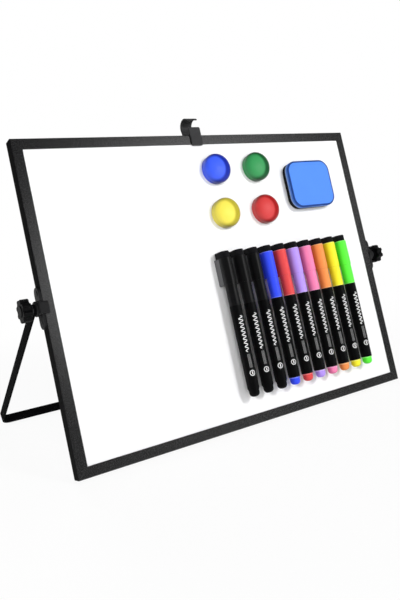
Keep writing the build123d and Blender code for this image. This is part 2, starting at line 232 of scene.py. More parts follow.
class Graph:
    """A node tree, with one method that adds any node."""

    def __init__(self, tree: bpy.types.NodeTree) -> None:
        """Empty the tree."""
        self.tree = tree
        tree.nodes.clear()

    def node(
        self,
        kind: str,
        settings: dict[str, object] | None = None,
        inputs: dict[str | int, object] | None = None,
        output: str | int = 0,
    ) -> Value:
        """Add a node.

        Args:
            kind: its type.
            settings: its own settings, set first.
            inputs: numbers or links for its sockets, by name or place.
            output: the output that is returned.

        Returns:
            The output.
        """
        made = self.tree.nodes.new(kind)
        for name, setting in (settings or {}).items():
            setattr(made, name, setting)
        for name, given in (inputs or {}).items():
            if isinstance(given, Value):
                self.tree.links.new(given.socket, made.inputs[name])
            else:
                made.inputs[name].default_value = given
        return Value(self, made.outputs[output]) if made.outputs else Value(self, made.inputs[0])

    def arithmetic(self, operation: str, *terms: Value | float) -> Value:
        """One Math node on the terms."""
        return self.node("ShaderNodeMath", {"operation": operation}, dict(enumerate(terms)))

    def vector(self, operation: str, *terms: Value | Vector, output: str | int = 0) -> Value:
        """One Vector Math node on the terms."""
        return self.node("ShaderNodeVectorMath", {"operation": operation}, dict(enumerate(terms)), output)

    def mix(self, share: Value | float, first: Value | Rgb, second: Value | Rgb) -> Value:
        """Mix two colours.

        Args:
            share: weight of the second colour.
            first: colour at 0.
            second: colour at 1.

        Returns:
            The mixed colour.
        """
        ends = [end if isinstance(end, Value) else rgba(end) for end in (first, second)]
        settings = {"data_type": "RGBA", "clamp_factor": True}
        return self.node("ShaderNodeMix", settings, {0: share, 6: ends[0], 7: ends[1]}, 2)

    def place(self) -> Value:
        """The point on the object, in the row frame's metres."""
        return self.node("ShaderNodeTexCoord", output="Object")

    def speckle(self, grain: float, detail: float = 2.0, stretch: Vector | None = None) -> Value:
        """Noise from 0 to 1.

        Args:
            grain: size of a grain in millimetres.
            detail: octaves.
            stretch: scale of each axis, to draw the grain out.

        Returns:
            The noise.
        """
        where = self.place()
        if stretch is not None:
            where = self.vector("MULTIPLY", where, stretch)
        inputs = {"Vector": where, "Scale": 1 / (grain * MM), "Detail": detail, "Roughness": 0.55}
        return self.node("ShaderNodeTexNoise", inputs=inputs)

    def relief(self, height: Value, depth: float, strength: float = 1.0) -> Value:
        """Bump the surface.

        Args:
            height: height from 0 to 1.
            depth: height of 1, in millimetres.
            strength: how much of the bump shows.

        Returns:
            The bent normal.
        """
        inputs = {"Height": height, "Distance": depth * MM, "Strength": strength}
        return self.node("ShaderNodeBump", inputs=inputs)

    def board(self) -> tuple[Value, Value, Value]:
        """The point's u, v and n on the board, in millimetres."""
        away = self.vector("SUBTRACT", self.place(), SLOPE.origin)
        axes = (SLOPE.across, SLOPE.along, SLOPE.out)
        return tuple(self.vector("DOT_PRODUCT", away, axis, output="Value") * (1 / MM) for axis in axes)

    def shader(self, **inputs: object) -> Value:
        """One Principled shader.

        Args:
            inputs: its sockets, with _ for a space in their names.

        Returns:
            The shader.
        """
        named = {name.replace("_", " "): given for name, given in inputs.items()}
        return self.node("ShaderNodeBsdfPrincipled", inputs=named)

    def surface(self, **inputs: object) -> None:
        """End in one Principled shader with these sockets."""
        self.node("ShaderNodeOutputMaterial", inputs={"Surface": self.shader(**inputs)})


SLOPE = Slope.of_board()
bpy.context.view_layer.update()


# ------------------------------------------------------------------ finishes


@dataclass(frozen=True)
class Finish:
    """A finish that is made once and shared."""

    name: str

    def material(self) -> bpy.types.Material:
        """The finish's material, made at its first use."""
        if self not in MIXED:
            made = bpy.data.materials.new(f"finish_{self.name}")
            made.use_nodes = True
            self.mix_up(Graph(made.node_tree))
            MIXED[self] = made
        return MIXED[self]

    def mix_up(self, graph: Graph) -> None:
        """Write the finish's nodes."""
        raise NotImplementedError

    def on(self, *objects: bpy.types.Object) -> None:
        """Put the finish on whole objects."""
        for thing in objects:
            if not thing.material_slots:
                thing.data.materials.append(None)
            for place in thing.material_slots:
                place.material = self.material()
            LOG.info("%s: %s", thing.name, self.name)


MIXED: dict[Finish, bpy.types.Material] = {}


@dataclass(frozen=True)
class PowderCoat(Finish):
    """Satin powder coat with a fine orange peel."""

    colour: Rgb
    gloss: float
    sheen: float = 0.27

    def mix_up(self, graph: Graph) -> None:
        """Write the finish's nodes."""
        peel = graph.speckle(0.55, 3.0)
        cloud = graph.speckle(38.0)
        graph.surface(
            Base_Color=graph.mix(cloud, shade(self.colour, 0.86), shade(self.colour, 1.16)),
            Roughness=self.sheen + (peel - 0.5) * 0.12,
            Specular_IOR_Level=self.gloss,
            Normal=graph.relief(peel, 0.03, 0.5),
        )


@dataclass(frozen=True)
class RailCoat(PowderCoat):
    """Powder coat on the frame's rails: drawing marks, arrises lightened by wear and a painted highlight,
    mitre hairlines, and flanks in painted shade.
    """

    half_width: float = 200.0
    half_height: float = 150.0
    seam: float = 0.16
    seam_black: Rgb = (0.002, 0.002, 0.002)
    arris_behind: Point = (-1.1, -0.35)
    arris_before: Point = (0.02, -0.25)
    # How far the front arrises lighten: partly wear, partly a painted highlight.
    arris_wear_and_highlight: float = 0.35
    flank: Point = (-0.25, -0.05)
    # Painted shade: the outer flanks' colour is pulled towards black.
    flank_shade_black: Rgb = (0.001, 0.001, 0.001)
    flank_shade_share: float = 0.6
    flank_sheen: float = 0.7
    flank_gloss: float = 0.04

    def mix_up(self, graph: Graph) -> None:
        """Write the finish's nodes."""
        u, v, n = graph.board()
        peel = graph.speckle(0.55, 3.0)
        drawn = graph.speckle(1.1, 2.0, Vector((0.03, 1.0, 0.03)))
        from_mitre = abs((self.half_width - abs(u)) - (self.half_height - abs(v)))
        seam = from_mitre.between(self.seam * 1.8, self.seam * 0.5)
        arris = n.between(*self.arris_behind) * n.between(*self.arris_before)
        outwards = (abs(u) - self.half_width).most(abs(v) - self.half_height)
        body = graph.mix(drawn, shade(self.colour, 0.84), shade(self.colour, 1.2))
        # Front arrises turn paler: rubbed wear and a painted highlight.
        rubbed = graph.mix(arris * self.arris_wear_and_highlight, body, shade(self.colour, 2.4))
        coat = graph.mix(seam, rubbed, self.seam_black)
        bent = graph.relief(peel * 0.06 - seam, 0.12, 0.4)
        front = graph.shader(
            Base_Color=coat,
            Roughness=self.sheen + (peel - 0.5) * 0.05 + seam * 0.3,
            Specular_IOR_Level=self.gloss,
            Normal=bent,
        )
        # Painted shade: the outer flanks take the coat darkened towards black.
        flank = graph.shader(
            Base_Color=graph.mix(self.flank_shade_share, coat, self.flank_shade_black),
            Roughness=self.flank_sheen,
            Specular_IOR_Level=self.flank_gloss,
            Normal=bent,
        )
        shaders = {0: outwards.between(*self.flank), 1: front, 2: flank}
        mixed = graph.node("ShaderNodeMixShader", inputs=shaders)
        graph.node("ShaderNodeOutputMaterial", inputs={"Surface": mixed})


@dataclass(frozen=True)
class WritingLacquer(Finish):
    """White lacquer on the steel sheet: nearly flat, with a trace of roller texture and wiping haze."""

    colour: Rgb = (0.92, 0.92, 0.925)

    def mix_up(self, graph: Graph) -> None:
        """Write the finish's nodes."""
        roller = graph.speckle(2.4, 2.0)
        haze = graph.speckle(60.0, 3.0, Vector((1.0, 0.5, 0.5)))
        graph.surface(
            Base_Color=graph.mix(haze, shade(self.colour, 0.985), self.colour),
            Roughness=0.3 + haze * 0.08,
            Specular_IOR_Level=0.3,
            Normal=graph.relief(roller, 0.004, 0.35),
        )


@dataclass(frozen=True)
class Moulding(Finish):
    """Black moulded plastic with a fine spark-eroded grain."""

    colour: Rgb
    sheen: float
    gloss: float = 0.25
    grain: float = 0.35

    def mix_up(self, graph: Graph) -> None:
        """Write the finish's nodes."""
        grain = graph.speckle(self.grain, 2.0)
        cloud = graph.speckle(9.0)
        graph.surface(
            Base_Color=graph.mix(cloud, shade(self.colour, 0.8), shade(self.colour, 1.3)),
            Roughness=self.sheen + (grain - 0.5) * 0.2,
            Specular_IOR_Level=self.gloss,
            Normal=graph.relief(grain, 0.03, 0.6),
        )


@dataclass(frozen=True)
class Blackened(Finish):
    """Blackened steel: dark oxide with rubbed brighter patches."""

    oxide: Rgb = (0.018, 0.018, 0.02)
    bared: Rgb = (0.09, 0.09, 0.095)

    def mix_up(self, graph: Graph) -> None:
        """Write the finish's nodes."""
        rubbed = graph.speckle(1.2, 3.0).between(0.5, 0.75)
        graph.surface(
            Base_Color=graph.mix(rubbed * 0.6, self.oxide, self.bared),
            Metallic=rubbed * 0.7,
            Roughness=0.5 - rubbed * 0.15,
            Normal=graph.relief(graph.speckle(0.25), 0.01, 0.5),
        )


@dataclass(frozen=True)
class Fibreboard(Finish):
    """Raw fibreboard core."""

    dark: Rgb = (0.30, 0.21, 0.12)
    light: Rgb = (0.52, 0.40, 0.26)

    def mix_up(self, graph: Graph) -> None:
        """Write the finish's nodes."""
        fibre = graph.speckle(0.8, 4.0, Vector((0.3, 1.0, 1.0)))
        graph.surface(
            Base_Color=graph.mix(fibre, self.dark, self.light),
            Roughness=0.85,
            Normal=graph.relief(fibre, 0.1, 0.6),
        )


@dataclass(frozen=True)
class Nylon(Finish):
    """Grey moulded nylon."""

    dark: Rgb = (0.03, 0.03, 0.032)
    light: Rgb = (0.05, 0.05, 0.052)

    def mix_up(self, graph: Graph) -> None:
        """Write the finish's nodes."""
        grain = graph.speckle(0.5)
        graph.surface(
            Base_Color=graph.mix(grain, self.dark, self.light),
            Roughness=0.55,
            Normal=graph.relief(grain, 0.02, 0.5),
        )


@dataclass(frozen=True)
class MagnetShell(Finish):
    """Polished dome of a round magnet with painted light and shade on it, and its ferrite disc."""

    colour: Rgb
    # Paler colour of the painted highlight.
    crown: Rgb
    u: float
    v: float
    # Painted highlight: an oval patch near the crown, off the axis, turns to the paler crown colour.
    painted_highlight_place: Point = (-5.6, -0.7)
    painted_highlight_size: Point = (10.6, 12.0)
    painted_highlight_edge: Point = (1.2, 0.85)
    # Painted shade: the wall darkens towards its foot.
    wall_shade_fade: Point = (10.0, 6.0)
    wall_shade_depth: float = 0.55
    disc_radius: float = 9.05
    disc_top: float = 1.62
    disc_edge: float = 0.03
    ferrite: Rgb = (0.03, 0.03, 0.032)

    def mix_up(self, graph: Graph) -> None:
        """Write the finish's nodes."""
        u, v, n = graph.board()
        reach = ((u - self.u) * (u - self.u) + (v - self.v) * (v - self.v)) ** 0.5
        inside = reach.between(self.disc_radius + self.disc_edge, self.disc_radius - self.disc_edge)
        disc = inside * n.between(self.disc_top + 0.05, self.disc_top)
        swirl = graph.speckle(14.0, 2.0)
        # Painted highlight: the oval patch off the axis, mixed to the crown colour below.
        aside = (u - (self.u + self.painted_highlight_place[0])) / self.painted_highlight_size[0]
        above = (v - (self.v + self.painted_highlight_place[1])) / self.painted_highlight_size[1]
        pale = ((aside * aside + above * above) ** 0.5).between(*self.painted_highlight_edge)
        # Painted shade: the wall colour darkens towards the foot.
        side = graph.mix(n.between(*self.wall_shade_fade), self.colour, shade(self.colour, self.wall_shade_depth))
        grit = graph.speckle(0.3, 3.0)
        graph.surface(
            Base_Color=graph.mix(disc, graph.mix(pale, side, self.crown), self.ferrite),
            Roughness=0.36 + disc * 0.4 + swirl * 0.05,
            Specular_IOR_Level=0.35,
            Normal=graph.relief(grit * disc + swirl * 0.05, 0.03, 0.5),
        )


@dataclass(frozen=True)
class ClosedFoam(Finish):
    """Dense closed-cell foam: fine pores, painted shade on its sides with a dark painted shade line along
    the top rim, and a painted highlight at its foot.
    """

    middle: Point
    size: Point
    corner: float
    foot: float
    top: float
    colour: Rgb = tint(84, 140, 246)
    # Painted shade: the sides are a darker copy of the face colour.
    side: Rgb = tint(66, 116, 208)
    # Painted shade: a dark line just inside the top rim.
    line: Rgb = tint(12, 46, 112)
    # Painted highlight: a paler band at the foot.
    foot_highlight: Rgb = tint(150, 178, 222)
    pore: float = 0.42
    rim_shade_inset: Point = (2.2, 1.7)
    rim_shade_drop: Point = (1.1, 0.8)
    side_shade_drop: Point = (0.6, 0.3)
    foot_highlight_rise: Point = (2.1, 1.6)

    def mix_up(self, graph: Graph) -> None:
        """Write the finish's nodes."""
        u, v, n = graph.board()
        aside = (abs(u - self.middle[0]) - (self.size[0] / 2 - self.corner)).most(0.0)
        above = (abs(v - self.middle[1]) - (self.size[1] / 2 - self.corner)).most(0.0)
        inset = self.corner - (aside * aside + above * above) ** 0.5
        cells = {"Vector": graph.place(), "Scale": 1 / (self.pore * MM)}
        pores = graph.node("ShaderNodeTexVoronoi", {"feature": "F1"}, cells)
        cloud = graph.speckle(22.0, 2.0)
        face = graph.mix(cloud, shade(self.colour, 0.96), shade(self.colour, 1.03))
        # Painted shade: below the top face the sides take the darker side colour.
        body = graph.mix(n.between(*(self.top - drop for drop in self.side_shade_drop)), self.side, face)
        # Painted highlight: a paler band just above the foam's foot.
        foot = graph.mix(n.between(*(self.foot + rise for rise in self.foot_highlight_rise)) * 0.75, body, self.foot_highlight)
        # Painted shade: a dark line just inside the top rim.
        rim = inset.between(*self.rim_shade_inset) * n.between(*(self.top - drop for drop in self.rim_shade_drop))
        rim_shaded = graph.mix(rim * 0.9, foot, self.line)
        graph.surface(
            Base_Color=graph.mix(pores.between(0.45, 0.1) * 0.12, rim_shaded, shade(self.colour, 0.55)),
            Roughness=0.62,
            Specular_IOR_Level=0.25,
            Normal=graph.relief(pores, 0.05, 0.4),
        )


@dataclass(frozen=True)
class PressedFelt(Finish):
    """Pressed black felt: matted fibres and a soft nap."""

    colour: Rgb = (0.005, 0.005, 0.006)

    def mix_up(self, graph: Graph) -> None:
        """Write the finish's nodes."""
        mat = graph.speckle(0.35, 5.0)
        clump = graph.speckle(1.7, 3.0)
        graph.surface(
            Base_Color=graph.mix((mat * clump) ** 1.5 * 1.6, self.colour, shade(self.colour, 2.6)),
            Roughness=0.95,
            Specular_IOR_Level=0.15,
            Sheen_Weight=0.04,
            Sheen_Roughness=0.5,
            Normal=graph.relief(mat + clump * 0.6, 0.16, 0.9),
        )


@dataclass(frozen=True)
class PenPlastic(Finish):
    """Moulding of a cap or plug, faintly uneven in its flow, with seams and painted highlights on its rims.

    Clear colours carry painted shade on the barrel's flank, and the black caps have a pale side to their
    block.
    """

    colour: Rgb
    pale_side: Rgb | None = None
    sheen: float = 0.35
    gloss: float = 0.2
    pale_top: float = 7.2
    block_foot: float = -8.6
    mouth: float = -30.1
    lip: float = -115.1
    pen_flank_shade_band: Point = (4.2, 0.8)
    pen_flank_shade_share: float = 0.8
    pen_flank_shade_purity: float = 0.12
    seam_depth: float = 0.25

    def mix_up(self, graph: Graph) -> None:
        """Write the finish's nodes."""
        _, v, n = graph.board()
        flow, scuff = self.grains(graph, 6.0)
        body = graph.mix(flow, shade(self.colour, 0.93), shade(self.colour, 1.04))
        if self.pale_side:
            block = v.between(self.block_foot - 0.1, self.block_foot + 0.1)
            low = n.between(self.pale_top + 0.2, self.pale_top - 0.2) * block
            body = graph.mix(low, body, self.pale_side)
        else:
            # Painted shade: the colour deepens down the marker's flanks.
            pen_flank_shade = n.between(*(MARKER_AXIS + height for height in self.pen_flank_shade_band))
            body = graph.mix(pen_flank_shade, body, self.pen_flank_shade_colour())
        near, far = self.block_foot - 0.35, self.block_foot + 0.3
        seam = v.between(near, near + 0.25) * v.between(far, far - 0.25)
        shaded = graph.mix(seam * self.seam_depth, body, shade(self.colour, 0.35))
        # Painted highlight: a paler colour along the rims.
        pale = tuple(min(1.0, part * 1.3 + 0.25 * max(self.colour)) for part in self.colour)
        graph.surface(
            Base_Color=graph.mix(self.rims(v) * 0.6, shaded, pale),
            Roughness=self.sheen + (scuff - 0.5) * 0.08,
            Specular_IOR_Level=self.gloss,
            Normal=graph.relief(flow * 0.4 + scuff * 0.1, 0.02, 0.4),
        )

    def rims(self, v: Value) -> Value:
        """Painted highlight along the cap's mouth and top and along the plug's lip.

        Args:
            v: place along the marker, in millimetres.

        Returns:
            The mask.
        """
        mouth = v.between(self.mouth + 0.75, self.mouth + 0.35)
        mouth = mouth * v.between(self.mouth - 0.5, self.mouth - 0.2)
        lip = v.between(self.lip - 0.05, self.lip + 0.05) * v.between(self.lip + 3.0, self.lip + 2.0)
        return mouth.most(v.between(CAP_TOP - 0.75, CAP_TOP - 0.4)).most(lip)

    def pen_flank_shade_colour(self) -> Rgb:
        """The deeper colour painted on the moulding's flanks as shade.

        Returns:
            The colour, linear.
        """
        peak = max(self.colour)
        red, green, blue = (
            self.pen_flank_shade_share * part * (part / peak) ** self.pen_flank_shade_purity for part in self.colour
        )
        return red, green, blue

    @staticmethod
    def grains(graph: Graph, length: float) -> tuple[Value, Value]:
        """The mould's flow lines and fine scuffs.

        Args:
            graph: the material's graph.
            length: size of the flow lines, in millimetres.

        Returns:
            Both noises.
        """
        return graph.speckle(length, 2.0, Vector((1.0, 0.25, 0.25))), graph.speckle(0.5, 3.0)


@dataclass(frozen=True)
class BarrelPlastic(PenPlastic):
    """Black barrel, with the neck, grey nib holder and inked nib that its cap covers."""

    ink: Rgb = (0.01, 0.01, 0.01)
    holder: Rgb = (0.35, 0.35, 0.36)
    holder_start: float = 14.0
    nib_start: float = 19.5

    def mix_up(self, graph: Graph) -> None:
        """Write the finish's nodes."""
        _, v, _ = graph.board()
        past = v - self.mouth
        flow, scuff = self.grains(graph, 7.0)
        holder = past.between(self.holder_start - 0.15, self.holder_start + 0.15)
        nib = past.between(self.nib_start - 0.05, self.nib_start + 0.05)
        body = graph.mix(flow, shade(self.colour, 0.8), shade(self.colour, 1.25))
        graph.surface(
            Base_Color=graph.mix(holder, body, graph.mix(nib, self.holder, self.ink)),
            Roughness=self.sheen + (scuff - 0.5) * 0.08 + nib * 0.5,
            Specular_IOR_Level=self.gloss,
            Normal=graph.relief(flow * 0.4 + scuff * 0.1, 0.02, 0.4),
        )


@dataclass(frozen=True)
class PrintInk(Finish):
    """Screen-printed ink, a little uneven."""

    colour: Rgb = (0.80, 0.80, 0.80)

    def mix_up(self, graph: Graph) -> None:
        """Write the finish's nodes."""
        uneven = graph.speckle(0.6, 3.0)
        graph.surface(
            Base_Color=graph.mix(uneven, shade(self.colour, 0.86), self.colour),
            Roughness=0.45,
            Specular_IOR_Level=0.3,
            Normal=graph.relief(uneven, 0.01, 0.4),
        )


class Hue(Enum):
    """Colours of the markers' caps, plugs and inks."""

    BLACK = tint(14, 14, 15)
    BLUE = tint(58, 82, 250)
    RED = tint(224, 76, 76)
    LILAC = tint(180, 150, 244)
    PINK = tint(246, 132, 176)
    ORANGE = tint(240, 148, 80)
    YELLOW = tint(244, 236, 52)
    GREEN = tint(96, 244, 68)


# ------------------------------------------------------------------ mesh helpers


def make_object(
    name: str, points: Sequence[Vector], faces: Sequence[Sequence[int]], smooth: float = 40.0
) -> bpy.types.Object:
    """Make a mesh object, smooth apart from its sharp edges.

    Args:
        name: name of the object.
        points: vertices in metres, in the row frame.
        faces: vertex numbers of each face.
        smooth: largest angle that is shaded smooth, in degrees.

    Returns:
        The object, in the scene.
    """
    mesh = bpy.data.meshes.new(name)
    mesh.from_pydata([tuple(p) for p in points], [], [tuple(f) for f in faces])
    mesh.validate()
    mesh.update()
    made = bpy.data.objects.new(name, mesh)
    bpy.context.scene.collection.objects.link(made)
    mesh.shade_smooth()
    mesh.set_sharp_from_angle(angle=math.radians(smooth))
    LOG.info("%s: %d faces", name, len(mesh.polygons))
    return made


def rounded_outline(width: float, height: float, corner: float, steps: int) -> list[Point]:
    """Rectangle with round corners.

    Args:
        width: its width.
        height: its height.
        corner: radius of its corners.
        steps: points on each corner, less one.

    Returns:
        The outline's points, anticlockwise.
    """
    points: list[Point] = []
    for quarter, (sx, sy) in enumerate(((1, 1), (-1, 1), (-1, -1), (1, -1))):
        for step in range(steps + 1):
            angle = (quarter + step / steps) * math.pi / 2
            x = sx * (width / 2 - corner) + corner * math.cos(angle)
            y = sy * (height / 2 - corner) + corner * math.sin(angle)
            points.append((x, y))
    return points


def stack_rings(rings: Sequence[Sequence[Vector]]) -> tuple[list[Vector], list[list[int]]]:
    """Skin a stack of rings with the same number of points, closed at both ends.

    Args:
        rings: the rings from one end to the other.

    Returns:
        Points and faces.
    """
    count = len(rings[0])
    points = [point for ring in rings for point in ring]
    faces = [list(range(count))[::-1]]
    for level in range(len(rings) - 1):
        low, high = level * count, (level + 1) * count
        for i in range(count):
            j = (i + 1) % count
            faces.append([low + i, low + j, high + j, high + i])
    faces.append([(len(rings) - 1) * count + i for i in range(count)])
    return points, faces


def shrunk(outline: Sequence[Point], inset: float) -> list[Point]:
    """The outline moved inwards along its own normals.

    Args:
        outline: closed outline, anticlockwise.
        inset: how far to move in.

    Returns:
        The moved points.
    """
    moved: list[Point] = []
    for i, (x, y) in enumerate(outline):
        back, ahead = outline[i - 1], outline[(i + 1) % len(outline)]
        run = Vector((ahead[0] - back[0], ahead[1] - back[1])).normalized()
        moved.append((x - run.y * inset, y + run.x * inset))
    return moved


# ------------------------------------------------------------------ sub-assemblies


@dataclass
class FramedBoard:
    """The mitred frame and the panel in its groove."""

    rails: tuple[str, ...] = ("top_rail", "right_rail", "bottom_rail", "left_rail")
    sheets: tuple[str, ...] = ("front_sheet", "back_sheet")
    rail_coat: Finish = RailCoat("rail_powder_coat", colour=tint(16, 16, 17), gloss=0.85)
    lacquer: Finish = WritingLacquer("white_writing_lacquer")

    def dress(self) -> None:
        """Finish every piece."""
        self.rail_coat.on(*(frame["nodes"][name] for name in self.rails))
        self.lacquer.on(*(frame["nodes"][name] for name in self.sheets))
        Fibreboard("fibreboard_core").on(frame["nodes"]["board_core"])
        Nylon("grey_nylon").on(frame["nodes"]["corner_keys"])


@dataclass
class PivotHardware:
    """Saddle brackets, bolts, washers, screws and star knobs at both sides."""

    sides: tuple[str, ...] = ("left", "right")
    steel: tuple[str, ...] = ("saddle_screws", "pivot_bolts", "washers")

    def dress(self) -> None:
        """Finish every piece."""
        saddles = Moulding("saddle_moulding", colour=tint(26, 26, 27), sheen=0.5, gloss=0.2)
        saddles.on(*(frame["nodes"][f"{side}_saddle"] for side in self.sides))
        knobs = Moulding("knob_moulding", colour=tint(9, 9, 10), sheen=0.5, gloss=0.1)
        knobs.on(*(frame["nodes"][f"{side}_knob"] for side in self.sides))
        Blackened("blackened_steel").on(*(frame["nodes"][name] for name in self.steel))


@dataclass
class StandAndClip:
    """The swinging U stand and the hook clip on the top rail."""

    def dress(self) -> None:
        """Finish both pieces."""
        coat = PowderCoat("stand_powder_coat", colour=tint(11, 11, 12), sheen=0.8, gloss=0.04)
        coat.on(frame["nodes"]["stand_frame"])
        Moulding("clip_moulding", colour=tint(50, 50, 51), sheen=0.55).on(frame["nodes"]["hook_clip"])


@dataclass
class RoundMagnets:
    """The four domed magnets."""

    # Per magnet: wall colour, paler crown colour used as painted highlight, then u and v.
    places: dict[str, tuple[Rgb, Rgb, float, float]] = field(
        default_factory=lambda: {
            "magnet_blue": (tint(14, 38, 158), tint(62, 96, 244), 6.8, 112.3),
            "magnet_green": (tint(8, 80, 36), tint(56, 150, 86), 58.8, 112.3),
            "magnet_yellow": (tint(184, 170, 44), tint(240, 224, 86), 6.8, 65.6),
            "magnet_red": (tint(158, 2, 4), tint(208, 64, 64), 58.8, 65.6),
        }
    )

    def dress(self) -> None:
        """Finish every magnet."""
        for name, (wall, crown, u, v) in self.places.items():
            MagnetShell(f"{name}_shell", wall, crown, u, v).on(frame["nodes"][name])


@dataclass
class Eraser:
    """Foam body on a felt pad."""

    u: float = 126.5
    v: float = 88.4
    width: float = 61.4
    height: float = 52.6
    corner: float = 12.5
    felt_foot: float = -1.0
    foam_foot: float = 4.0
    top: float = 9.2
    corner_steps: int = 14
    felt_ragged: float = 0.16

    def build(self) -> None:
        """Make the foam and the felt, and let them stand for their plain solids."""
        foam = self._lofted("eraser_foam_block", self._foam_levels(), 0.0)
        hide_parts("eraser_foam")
        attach(foam, "eraser")
        ClosedFoam(
            "blue_closed_cell_foam",
            middle=(self.u, self.v),
            size=(self.width, self.height),
            corner=self.corner,
            foot=self.foam_foot,
            top=self.top,
        ).on(foam)
        felt = self._lofted("eraser_felt_pad", self._felt_levels(), self.felt_ragged)
        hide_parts("eraser_felt")
        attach(felt, "eraser")
        PressedFelt("pressed_black_felt").on(felt)

    def _foam_levels(self) -> list[tuple[float, float]]:
        """Inset and height of each ring of the foam, with its cut rim and slightly crowned top."""
        foot, top = self.foam_foot, self.top
        sides = [(0.25, foot + 0.02), (0.05, foot + 0.3), (0.0, foot + 1.5), (0.0, top - 0.9)]
        rim = [(0.08, top - 0.6), (0.24, top - 0.36), (0.5, top - 0.18), (0.9, top - 0.08)]
        crown = [(1.6, top - 0.05), (4.0, top - 0.04), (9.0, top - 0.01), (12.0, top)]
        return sides + rim + crown

    def _felt_levels(self) -> list[tuple[float, float]]:
        """Inset and height of each ring of the felt pad."""
        foot, top = self.felt_foot, self.foam_foot
        sides = [(0.45, foot + 0.2 + (top - foot - 0.3) * step / 8) for step in range(1, 9)]
        return [(0.9, foot + 0.02), (0.5, foot + 0.2), *sides, (0.9, top)]

    def _lofted(self, name: str, levels: Sequence[tuple[float, float]], ragged: float) -> bpy.types.Object:
        """Skin the block through its levels.

        Args:
            name: name of the object.
            levels: inset and height of each ring.
            ragged: how far fibres pull the sides in, in millimetres.

        Returns:
            The object.
        """
        outline = self._spread(rounded_outline(self.width, self.height, self.corner, self.corner_steps))
        rings: list[list[Vector]] = []
        for inset, level in levels:
            ring = []
            for x, y in shrunk(outline, inset):
                pull = ragged * noise.noise(Vector((x * 1.3, y * 1.3, level * 1.7))) * 0.5 + ragged * 0.5
                reach = 1 - pull / math.hypot(x, y)
                ring.append(SLOPE.at(self.u + x * reach, self.v + y * reach, level))
            rings.append(ring)
        return make_object(name, *stack_rings(rings), smooth=50.0)

    @staticmethod
    def _spread(outline: Sequence[Point], longest: float = 3.0) -> list[Point]:
        """Add points on an outline's long sides.

        Args:
            outline: closed outline.
            longest: length that no side of the result exceeds.

        Returns:
            The outline with more points.
        """
        spread: list[Point] = []
        for i, (x, y) in enumerate(outline):
            ahead = outline[(i + 1) % len(outline)]
            gap = math.hypot(ahead[0] - x, ahead[1] - y)
            if gap < 1e-6:
                continue
            parts = max(1, math.ceil(gap / longest))
            for part in range(parts):
                share = part / parts
                spread.append((x + (ahead[0] - x) * share, y + (ahead[1] - y) * share))
        return spread


@dataclass(frozen=True)
class Stroke:
    """A printed line of even width, along points round and along the barrel."""

    path: tuple[Point, ...]
    width: float
    closed: bool = False

    def strip(self) -> tuple[list[Point], list[list[int]]]:
        """The stroke's outline points in pairs, and the quads between them."""
        points: list[Point] = []
        last = len(self.path) - 1
        for i, (a, v) in enumerate(self.path):
            back = self.path[i - 1] if i or self.closed else self.path[i]
            ahead = self.path[(i + 1) % len(self.path)] if i < last or self.closed else self.path[i]
            run = Vector((ahead[0] - back[0], ahead[1] - back[1])).normalized()
            side = Vector((-run.y, run.x)) * self.width / 2
            points += [(a - side.x, v - side.y), (a + side.x, v + side.y)]
        spans = range(last + 1 if self.closed else last)
        count = len(points)
        quads = [[2 * i, (2 * i + 2) % count, (2 * i + 3) % count, 2 * i + 1] for i in spans]
        return points, quads


